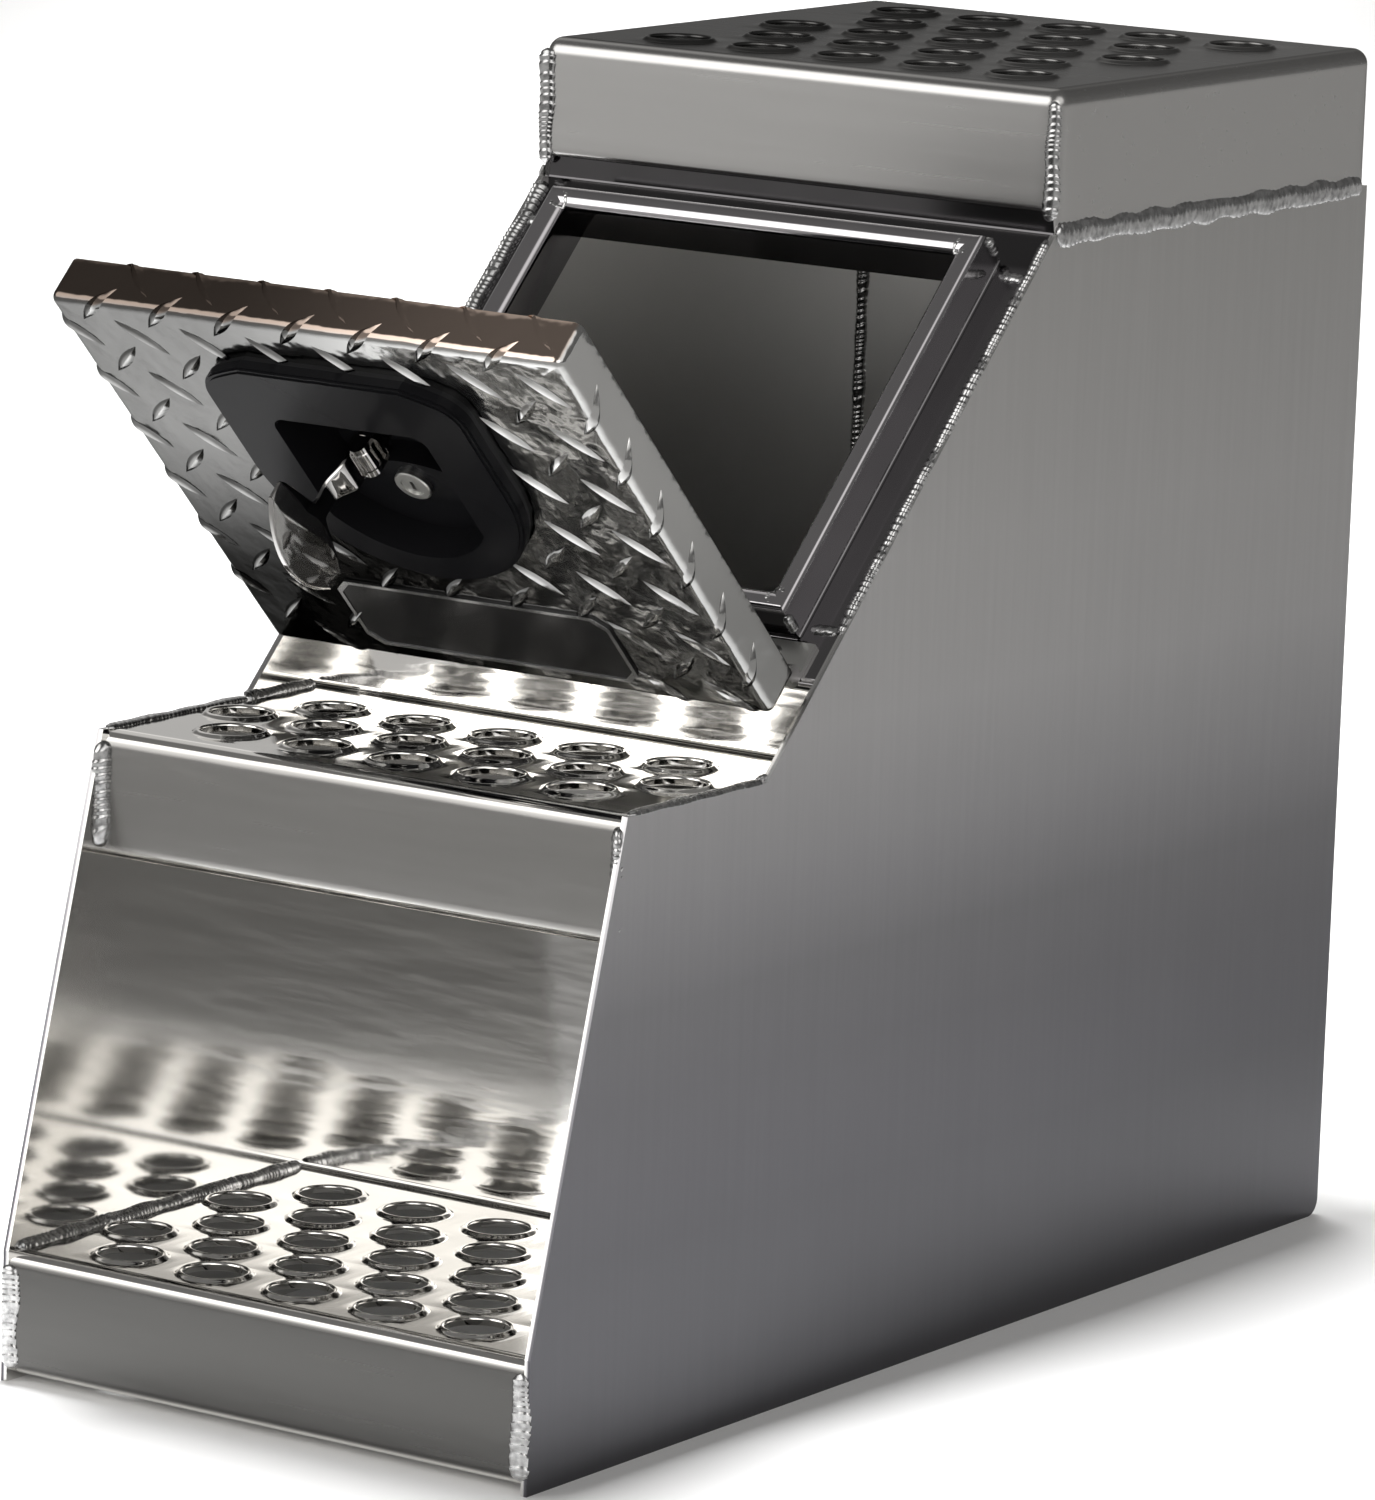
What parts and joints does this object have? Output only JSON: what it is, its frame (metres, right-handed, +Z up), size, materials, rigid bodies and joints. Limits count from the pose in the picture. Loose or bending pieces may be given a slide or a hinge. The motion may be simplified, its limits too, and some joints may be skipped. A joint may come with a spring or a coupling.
{
  "type": "saddle step box",
  "caption": "Welded sheet-metal step box with three pierced treads and a slanted lift-down door of lugged plate with a folding T-handle latch.",
  "frame": {"origin": "middle of the box's width and depth, on the underside of the floor sheet, where the box stands", "axes": "+Z up, +X to the right as seen from the front, +Y to the back; the steps face -Y"},
  "size_m": [0.3088, 0.7127, 0.6126],
  "materials": {
    "side_sheet": "mill finish rolled sheet, softly streaked",
    "step_sheet": "bright mill finish sheet, near mirror",
    "cap_sheet": "mill finish sheet with fine grain",
    "frame_sheet": "bright folded sheet, heat tinted at the welds",
    "weld": "bare rippled weld bead",
    "hinge_metal": "satin",
    "rivet_metal": "satin",
    "tread_plate": "bright rolled tread plate, mirror-like with soft streaks",
    "steel_pin": "plain",
    "seal_rubber": "matt cellular rubber",
    "plate_black": "gloss black with a thin silver border",
    "gasket_rubber": "matt",
    "dish_black": "satin to gloss black",
    "zinc_steel": "zinc plated",
    "lock_steel": "turned and polished",
    "chrome_metal": "polished chrome"
  },
  "bodies": {
    "box": {"left_side_panel": "side_sheet", "right_side_panel": "side_sheet", "lower_step_sheet": "step_sheet", "middle_step_sheet": "step_sheet", "top_step_cap": "cap_sheet", "floor_back_sheet": "side_sheet", "frame_header": "frame_sheet", "frame_left_jamb": "frame_sheet", "frame_right_jamb": "frame_sheet", "frame_sill": "frame_sheet", "lower_step_beads": "weld", "middle_step_beads": "weld", "panel_edge_beads": "weld", "cap_beads": "weld", "frame_beads": "weld", "back_beads": "weld", "hinge_frame_leaf": "hinge_metal", "hinge_frame_rivets": "rivet_metal"},
    "door": {"door_skin": "tread_plate", "door_corner_beads": "weld", "hinge_door_leaf": "hinge_metal", "hinge_pin": "steel_pin", "hinge_door_rivets": "rivet_metal", "door_seal": "seal_rubber", "name_plate": "plate_black", "latch_gasket": "gasket_rubber", "latch_dish": "dish_black", "latch_screws": "zinc_steel", "lock_housing": "lock_steel"},
    "spindle": {"latch_spindle": "chrome_metal", "cam_arm": "zinc_steel", "cam_washer": "zinc_steel", "cam_nut": "zinc_steel", "handle_pin": "steel_pin"},
    "handle": {"latch_handle": "chrome_metal"},
    "lock": {"lock_cylinder": "lock_steel", "lock_tongue": "zinc_steel", "lock_screw": "zinc_steel"}
  },
  "joints": [
    {"name": "door_hinge", "type": "hinge", "parent": "box", "child": "door", "pos_m": [0, -0.14064, 0.34786], "axis": [-1, 0, 0], "range_deg": [0, 90]},
    {"name": "latch_turn", "type": "hinge", "parent": "door", "child": "spindle", "pos_m": [0.0025, -0.28956, 0.45874], "axis": [0, 0.7071, 0.7071], "range_deg": [0, 90]},
    {"name": "handle_fold", "type": "hinge", "parent": "spindle", "child": "handle", "pos_m": [0.0025, -0.29542, 0.45287], "axis": [0, -0.7071, 0.7071], "range_deg": [0, 90]},
    {"name": "lock_turn", "type": "hinge", "parent": "door", "child": "lock", "pos_m": [0.0025, -0.24784, 0.4453], "axis": [0, -0.7071, -0.7071], "range_deg": [0, 90]}
  ]
}
